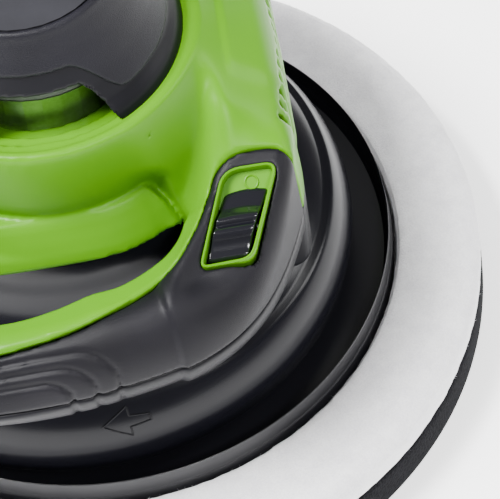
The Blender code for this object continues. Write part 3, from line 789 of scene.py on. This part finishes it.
def lathe(name, profile, finish, steps, centre=(0, 0), lift=None):
    """Turns a closed (radius, height) profile; lift(angle, radius, height) pushes a point out."""
    points = []
    for k in range(steps):
        angle = 2 * pi * k / steps
        for r, z in profile:
            push = lift(angle, r, z) if lift else 0
            points.append(((centre[0] + (r + push) * cos(angle)) * MM,
                           (centre[1] + (r + push) * sin(angle)) * MM,
                           (z + push * LIFT_RISE) * MM))
    mesh = outward_mesh(name, points, ring_faces(steps, len(profile)), merge=1e-6)
    return show(name, mesh, finish)


def crescent(angle, r, z):
    """A step that runs round the front shoulder of the skirt and dies out at both ends."""
    turn = np.degrees(np.arctan2(sin(angle), cos(angle)))
    fade = float(ramp(turn, -CRESCENT_GONE, -CRESCENT_FULL)
                 * (1 - ramp(turn, CRESCENT_FULL, CRESCENT_GONE)))
    return CRESCENT_HEIGHT * fade * float(ramp(r, 83.2, 84.2)) * float(ramp(z, 38, 44))


# %% Skirt, deck blocks and plate
COLLAR_TOP = PARTING + 5.6
SKIRT_LINE = [(57.6, PARTING - 0.3), (58.3, 86), (60, 79.5), (64.5, 73.2), (71, 69), (78, 65),
              (83.2, 60.6), (87.2, 54.6), (89.4, 48), (89.9, 42.5)]
ARROW = [(-90.0, 54.6), (-84.2, 59.2), (-84.1, 56.4), (-79.8, 55.6), (-79.7, 53.4),
         (-84.2, 52.8), (-84.1, 49.6)]
CORD_HOLE_R = 6.3


def make_skirt():
    """The dome over the pad, with a collar inside the body and a flat web inside the dome."""
    outside = [(56.6, COLLAR_TOP)] + SKIRT_LINE + [(89.9, 37.2), (89.3, SKIRT_LOW)]
    inside = [(87.0, SKIRT_LOW), (86.6, 44), (83, 54.5), (70, 63.5), (54, 69), (42, 69),
              (42, 72), (54.5, 72), (54.5, COLLAR_TOP)]
    made = lathe("skirt_skin", smooth_curve(outside, 6, closed=False) + inside, dome_black, 240,
                 lift=crescent)
    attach(made, "housing")


def make_blocks():
    """The parts of the lower moulding that carry the front and rear decks."""
    grid = Grid((-112, -48, 56), (79, 48, PARTING + 2), 1.0)
    outline = plan_distance(body_outline(), grid.x, grid.y)
    keel = np.interp(grid.radius, [50, 66, 92, 104, 109], [60, 60, 68, 71, 76])
    block = rounded_max(grid.deep(outline) + 0.1, grid.deep(keel) - grid.z, 5)
    block = rounded_max(block, np.abs(grid.deep(grid.y)) - 45.5 + 0 * grid.z, 2)
    block = np.maximum(block, 57 - grid.deep(grid.radius))
    block = rounded_max(block, grid.z - PARTING + 0.15, 0.5)
    cord_hole = CORD_HOLE_R * (grid.deep(grid.x) < 0)
    block = np.maximum(block, -np.hypot(grid.deep(grid.y), grid.z - CORD_Z) + cord_hole)
    made = surface_net("lower_deck_blocks", block, grid, moulded_black)
    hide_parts("lower_housing")
    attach(made, "housing")


def make_arrow():
    """The outline arrow that shows which way the rotor turns, moulded on the skirt's shoulder."""
    radii, heights = zip(*reversed(SKIRT_LINE))
    path = []
    for (a0, z0), (a1, z1) in zip(ARROW, ARROW[1:] + ARROW[:1]):
        for t in np.linspace(0, 1, 8, endpoint=False):
            path.append((radians(a0 + (a1 - a0) * t), z0 + (z1 - z0) * t))
    points, sides = [], 6
    for k, (angle, z) in enumerate(path):
        r = np.interp(z, heights, radii) + 0.1
        here = Vector((r * cos(angle), r * sin(angle), z))
        after, before = path[(k + 1) % len(path)], path[k - 1]
        along = Vector(((after[0] - before[0]) * r, after[1] - before[1], 0)).normalized()
        out = Vector((cos(angle), sin(angle), 0.8)).normalized()
        side = Vector((-sin(angle) * -along.y, cos(angle) * -along.y, along.x)).normalized()
        for i in range(sides):
            b = 2 * pi * i / sides
            points.append((here + out * (0.32 * sin(b)) + side * (0.42 * cos(b))) * MM)
    mesh = outward_mesh("turning_arrow", points, ring_faces(len(path), sides))
    made = show("turning_arrow", mesh, moulded_black)
    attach(made, "housing")


def make_plate():
    """The backing plate, with a raised rib near its edge."""
    top = smooth_curve([(17.5, 37.8), (19, 34), (23, 30.5), (32, 28.4), (60, 28), (92, 27.8),
                        (95.2, 28.6), (96.0, 30.8), (96.5, 32.1), (97.1, PLATE_TOP),
                        (97.7, 32.0), (PLATE_R, 30.6), (PLATE_R, 22.4)], 4, closed=False)
    under = [(97.5, 21.8), (10.5, 21.8), (10.5, 27.7), (5.3, 27.7), (5.3, 37.9)]
    made = lathe("backing_plate_skin", top + under, plate_black, 200, (PAD_X, 0))
    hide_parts("backing_plate")
    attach(made, "pad")


plate_black = gloss_black("plate_black", 0.3, 0.8)
make_arrow()
make_skirt()
make_blocks()
make_plate()

# %% [markdown]
# ## Foam pad
# Two foam discs. Their edges aren't machined, so the white disc's surface wanders a little: each point
# of its turned mesh moves by a small smooth noise.


# %% Foam discs
ROUGHNESS_HEIGHT, ROUGHNESS_SCALE = 0.00028, 260


def roughen(made, amount, scale):
    """Moves each point along its normal by a smooth noise."""
    for vertex in made.data.vertices:
        vertex.co += vertex.normal * (solid_noise.noise(vertex.co * scale) * amount)
    made.data.update()


def spaced_profile(corners, spacing):
    """Corner points of a profile with extra points between, so that noise has something to move."""
    out = []
    for (r0, z0), (r1, z1) in zip(corners, corners[1:] + corners[:1]):
        parts = max(1, int(np.hypot(r1 - r0, z1 - z0) / spacing))
        out += [(r0 + (r1 - r0) * k / parts, z0 + (z1 - z0) * k / parts) for k in range(parts)]
    return out


def make_foams():
    """The white disc with its open middle, and the black disc under it."""
    white = smooth_curve([(99.2, 19.9), (99.0, 27.5), (100.0, 29.6), (102.5, FOAM_TOP),
                          (120, FOAM_TOP - 0.1), (123.6, 29.4), (126, 27), (126.9, 23.8),
                          (126.8, 19.5), (126.2, FOAM_SPLIT)], 3, closed=False)
    white = spaced_profile(white + [(60, FOAM_SPLIT), (60, 19.9)], 2.2)
    upper = lathe("foam_upper_skin", white, white_foam, 360, (PAD_X, 0))
    black_top = FOAM_SPLIT - 0.3
    black = smooth_curve([(126.2, black_top), (126.9, 15), (PAD_R, 8), (126.6, 3.5), (125, 1),
                          (122.5, 0)], 3, closed=False)
    black = spaced_profile(black + [(0.02, 0), (0.02, black_top)], 2.6)
    lower = lathe("foam_lower_skin", black, black_foam, 300, (PAD_X, 0))
    roughen(upper, ROUGHNESS_HEIGHT, ROUGHNESS_SCALE)
    for made, node in ((upper, "foam_upper"), (lower, "foam_lower")):
        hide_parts(node)
        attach(made, "pad")


make_foams()

# %% [markdown]
# ### Foam fibres
# A felt disc sheds short fibres. A Geometry Nodes tree strews them over the pad: points spread over
# the foam's surface, each carrying a thin tapered fibre turned by a seeded random angle.


# %% Fibres
FIBRE_LENGTH, FIBRE_R, FIBRE_TIP_R = 0.0011, 0.00007, 0.00001
FIBRE_SCALES = (0.4, 1.0)
FIBRE_TILT_LOW, FIBRE_TILT_HIGH = (-1.3, -1.3, 0.0), (1.3, 1.3, 6.28)
COVERED_RADIUS, FLOOR_GAP = 0.099, 0.004


class Tree:
    """A Geometry Nodes tree under construction."""

    def __init__(self, name, inputs):
        self.group = bpy.data.node_groups.new(name, "GeometryNodeTree")
        face = self.group.interface
        face.new_socket("Geometry", in_out="INPUT", socket_type="NodeSocketGeometry")
        self.ids = {}
        for label, kind in inputs:
            self.ids[label] = face.new_socket(label, in_out="INPUT", socket_type=kind).identifier
        face.new_socket("Geometry", in_out="OUTPUT", socket_type="NodeSocketGeometry")
        self.start = self.group.nodes.new("NodeGroupInput")
        self.end = self.group.nodes.new("NodeGroupOutput")

    def add(self, kind, links=None, values=None, settings=None):
        node = self.group.nodes.new(kind)
        for key, value in (settings or {}).items():
            setattr(node, key, value)
        for key, value in (values or {}).items():
            node.inputs[key].default_value = value
        for key, socket in (links or {}).items():
            self.group.links.new(socket, node.inputs[key])
        return node

    def given(self, label):
        return self.start.outputs[label]

    def finish(self, socket):
        self.group.links.new(socket, self.end.inputs["Geometry"])

    def apply(self, name, mesh, values):
        """Runs the tree on a mesh and returns the plain mesh that comes out."""
        holder = bpy.data.objects.new(name, mesh)
        bpy.context.scene.collection.objects.link(holder)
        change = holder.modifiers.new("tree", "NODES")
        change.node_group = self.group
        for label, value in values.items():
            change[self.ids[label]] = value
        bpy.context.view_layer.update()
        graph = bpy.context.evaluated_depsgraph_get()
        out = bpy.data.meshes.new_from_object(holder.evaluated_get(graph))
        bpy.data.objects.remove(holder)
        return out


def fibre_tree():
    """Strews fibres over a mesh: points, cones on them, random sizes and tilts."""
    tree = Tree("foam_fibres", [
        ("Count per area", "NodeSocketFloat"), ("Length", "NodeSocketFloat"),
        ("Radius", "NodeSocketFloat"), ("Seed", "NodeSocketInt"),
        ("Fibre material", "NodeSocketMaterial")])
    spread = tree.add("GeometryNodeDistributePointsOnFaces",
                      {"Mesh": tree.given("Geometry"), "Density": tree.given("Count per area"),
                       "Seed": tree.given("Seed")})
    line = tree.add("GeometryNodeMeshCone",
                    {"Radius Bottom": tree.given("Radius"), "Depth": tree.given("Length")},
                    {"Vertices": 3, "Radius Top": FIBRE_TIP_R})
    turn = tree.add("FunctionNodeRandomValue", {"Seed": tree.given("Seed")},
                    {"Min": FIBRE_TILT_LOW, "Max": FIBRE_TILT_HIGH},
                    {"data_type": "FLOAT_VECTOR"})
    size = tree.add("FunctionNodeRandomValue", {"Seed": tree.given("Seed")},
                    settings={"data_type": "FLOAT"})
    size.inputs[2].default_value, size.inputs[3].default_value = FIBRE_SCALES
    put = tree.add("GeometryNodeInstanceOnPoints", {"Points": spread.outputs["Points"],
                                                    "Instance": line.outputs["Mesh"],
                                                    "Scale": size.outputs[1]})
    tilt = tree.add("GeometryNodeRotateInstances", {"Instances": put.outputs["Instances"],
                                                    "Rotation": turn.outputs[0]})
    real = tree.add("GeometryNodeRealizeInstances", {"Geometry": tilt.outputs["Instances"]})
    dyed = tree.add("GeometryNodeSetMaterial", {"Geometry": real.outputs["Geometry"],
                                                "Material": tree.given("Fibre material")})
    tree.finish(dyed.outputs["Geometry"])
    return tree


def make_fibres():
    """Fibres on the open surface of both discs: nothing under the plate or near the floor."""
    tree = fibre_tree()
    for name, node, slot, finish, count, seed in (
            ("white_foam_fibres", "foam_upper_skin", "foam_white", white_foam, 190000, 11),
            ("black_foam_fibres", "foam_lower_skin", "foam_black", black_foam, 30000, 5)):
        base = bpy.data.objects[node].data.copy()
        trim = bmesh.new()
        trim.from_mesh(base)
        hidden = [f for f in trim.faces
                  if f.normal.z < -0.5 or f.calc_center_median().xy.length < COVERED_RADIUS
                  or f.calc_center_median().z < FLOOR_GAP]
        bmesh.ops.delete(trim, geom=hidden, context="FACES")
        trim.to_mesh(base)
        trim.free()
        mesh = tree.apply(name, base, {
            "Count per area": float(count), "Length": FIBRE_LENGTH, "Radius": FIBRE_R,
            "Seed": seed, "Fibre material": finish})
        made = show(name, mesh, finish)
        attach(made, "pad")


make_fibres()

# %% [markdown]
# ## Motor cap
# The cap is a textured cone whose lower edge rises in an arch on each side, so that air can reach the
# ledges. A smooth black skirt shows below its edge.


# %% Cap fields
CAP_SLANT, CAP_WALL, FLANGE_WALL, FLANGE_TOP = 0.9, 2.4, 2.2, 168


def cap_radius(z):
    return np.interp(z, [140, 147.6, 152.5, 161.5, 171.5, 177.4, 180.6],
                     [47.4, 45.6, 43.2, 38.6, 34.0, 31.6, 30.6])


def flange_radius(z):
    return np.interp(z, [139, 143, 146, 149, 152, 158, 168],
                     [46.9, 46.9, 46.5, 45.0, 42.6, 39.4, 34.6])


def arch(grid, low, high, inner, outer):
    """Height of an edge that is raised near x = 0."""
    return grid.deep(high - (high - low) * ramp(np.abs(grid.x), inner, outer))


def make_cap():
    """The cap, with a shallow well in its lid, and the smooth skirt inside it."""
    grid = Grid((-49, -49, 139), (49, 49, CAP_TOP + 2), 0.8)
    axis = grid.deep(grid.radius) + 0 * grid.z
    cone = (axis - cap_radius(grid.z)) * CAP_SLANT
    cap = rounded_max(cone, grid.z - CAP_TOP, 1.2)
    cap = np.maximum(cap, -(cap + CAP_WALL))
    well = np.maximum(axis - 28.6, CAP_TOP - 1.9 - grid.z)
    lid = np.maximum(axis - 31, np.abs(grid.z - (CAP_TOP - 2.9)) - 1.0)
    cap = np.minimum(cap, np.maximum(lid, cone))
    cap = rounded_max(cap, -well, 0.5)
    cap = rounded_max(cap, arch(grid, 152.6, 166.5, 9, 28) - grid.z, 1.2)
    made = surface_net("cap_skin", cap, grid, cap_black)
    flare = (axis - flange_radius(grid.z)) * CAP_SLANT
    flange = np.maximum(flare, -(flare + FLANGE_WALL))
    flange = rounded_max(flange, arch(grid, 140.6, 160.0, 11, 29) - grid.z, 0.8)
    flange = np.maximum(flange, grid.z - FLANGE_TOP)
    lower = surface_net("cap_flange_skin", flange, grid, moulded_black)
    for piece, node, slot in ((made, "top_cap", "textured_black"), (lower, "cap_flange", "matt_black")):
        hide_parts(node)
        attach(piece, "housing")


make_cap()

# %% [markdown]
# ## Switch
# A thin green frame, a sloping green floor with a raised ring for "off", and a glossy rocker with two
# finger crests. They are drawn in the deck's own frame: across, along and out.


# %% Switch pieces
WELL_FROM, WELL_SLOPE, WELL_LOW, WELL_UNDER = 4.0, 0.30, -6.0, -8.5
OFF_RING_AT, OFF_RING_R, OFF_RING_THICK = (7.0, 10.6), 2.0, 0.34
ROCKER_INSET, ROCKER_LENGTH = 2.2, 0.95
ROCKER_TOP = [(8.4, -8.6), (8.6, -5.4), (7.6, -4.2), (5.0, -3.6), (2.8, -3.3), (1.6, -2.6),
              (-0.4, -0.6), (-1.6, 0.3), (-2.8, -0.1), (-3.6, -0.7), (-4.6, 0.2), (-5.8, 0.7),
              (-7.2, 0.0), (-9.0, -1.6), (-11.4, -2.6), (-13.2, -2.9), (-14.0, -4.2),
              (-13.8, -8.0)]
ROCKER_UNDER = [(-9, -10.4), (-3, -11.4), (4.5, -10.4)]


def deck_mesh(name, points, faces, finish, bevel=None):
    """A piece drawn in the deck's own frame."""
    places = [Vector(on_deck(*p)) * MM for p in points]
    made = show(name, outward_mesh(name, places, faces, bevel=bevel), finish)
    made.data.set_sharp_from_angle(angle=radians(40))
    return made


def make_frame():
    """A thin wall with a rounded lip, from rings of the window's outline."""
    rings = [(0.0, -9.5), (0.0, -0.5), (-0.15, -0.1), (-0.5, 0.1), (-0.85, -0.1), (-1.0, -0.5),
             (-1.2, -9.5)]
    points = [(u, v, w) for grow, w in rings for u, v in window_outline(grow)]
    faces = ring_faces(len(rings), len(window_outline()))
    return deck_mesh("switch_frame", points, faces, green)


def window_sides(v, inset):
    """The window's left and right edges at v, moved inwards."""
    near_left, near_right, far_right, far_left = WINDOW
    return (np.interp(v, (near_left[1], far_left[1]), (near_left[0], far_left[0])) + inset,
            np.interp(v, (near_right[1], far_right[1]), (near_right[0], far_right[0])) - inset)


def well_height(v):
    return WELL_LOW + (v - WELL_FROM) * WELL_SLOPE


def make_well():
    """The sloping floor at the far end of the window."""
    rim = [p for p in window_outline(-1.1) if p[1] > WELL_FROM]
    left, right = window_sides(WELL_FROM, 1.1)
    rim = [(right, WELL_FROM)] + rim + [(left, WELL_FROM)]
    n = len(rim)
    points = [(u, v, well_height(v)) for u, v in rim] + [(u, v, WELL_UNDER) for u, v in rim]
    faces = [tuple(range(n)), tuple(reversed(range(n, 2 * n)))]
    return deck_mesh("switch_well", points, faces + ring_faces(2, n, closed=False), green)


def make_off_ring():
    """The raised ring on the sloping floor."""
    points, turns, sides = [], 40, 8
    for k in range(turns):
        a = 2 * pi * k / turns
        for t in range(sides):
            b = 2 * pi * t / sides
            r = OFF_RING_R + OFF_RING_THICK * cos(b)
            u, v = OFF_RING_AT[0] + r * cos(a), OFF_RING_AT[1] + r * sin(a)
            points.append((u, v, well_height(v) + 0.05 + OFF_RING_THICK * sin(b)))
    return deck_mesh("switch_off_ring", points, ring_faces(turns, sides), green)


def make_rocker():
    """The rocker: a profile along the window, bent a little so that its far edge bows outwards."""
    wave = smooth_curve(ROCKER_TOP, 4, closed=False) + ROCKER_UNDER
    points, slices = [], 12
    for k in range(slices + 1):
        share = k / slices
        bow = 1.1 - 4.4 * (share - 0.5) ** 2
        for v, w in wave:
            left, right = window_sides(v, ROCKER_INSET)
            far = v * ROCKER_LENGTH + bow * float(ramp(v, -6, 6))
            points.append((left + (right - left) * share, far, w))
    n = len(wave)
    faces = [tuple(range(n)), tuple(reversed(range(slices * n, (slices + 1) * n)))]
    faces += ring_faces(slices + 1, n, closed=False)
    return deck_mesh("rocker_skin", points, faces, rocker_black, bevel=0.4)


for piece in (make_frame(), make_well(), make_off_ring()):
    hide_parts("switch_bezel")
    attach(piece, "housing")
rocker = make_rocker()
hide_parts("rocker")
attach(rocker, "rocker_switch")

# %% [markdown]
# ## Floor and light
# A pale seamless floor and soft boxes, as a small product studio has them.


# %% Floor and lights
def soft_box(name, at, aim, size, power):
    light = bpy.data.lights.new(name, "AREA")
    light.shape, light.energy = "RECTANGLE", power
    light.size, light.size_y = size
    made = bpy.data.objects.new(name, light)
    bpy.context.scene.collection.objects.link(made)
    made.location = at
    made.rotation_euler = (Vector(aim) - Vector(at)).to_track_quat("-Z", "Y").to_euler()


def make_studio():
    mesh = bpy.data.meshes.new("studio_floor")
    half = 4.0
    corners = [(-half, -half, 0), (half, -half, 0), (half, half, 0), (-half, half, 0)]
    mesh.from_pydata(corners, [], [(0, 1, 2, 3)])
    paper = Finish("seamless_paper", (0.95, 0.95, 0.95), 0.9, Emission_Color=(1, 1, 1, 1),
                   Emission_Strength=1.5)
    floor = show("studio_floor", mesh, paper.material)
    world = bpy.data.worlds.new("studio")
    world.use_nodes = True
    sky = world.node_tree.nodes["Background"]
    sky.inputs["Color"].default_value = (1, 1, 1, 1)
    sky.inputs["Strength"].default_value = 0.26
    bpy.context.scene.world = world
    soft_box("overhead", (-0.75, -0.15, 1.6), (0, 0, 0.1), (0.7, 0.5), 105)
    soft_box("front_strip", (0.40, -0.95, 1.15), (0, -0.05, 0.1), (0.42, 0.22), 14)
    soft_box("side", (1.3, 0.1, 0.9), (0, 0, 0.1), (0.4, 0.9), 12)


make_studio()
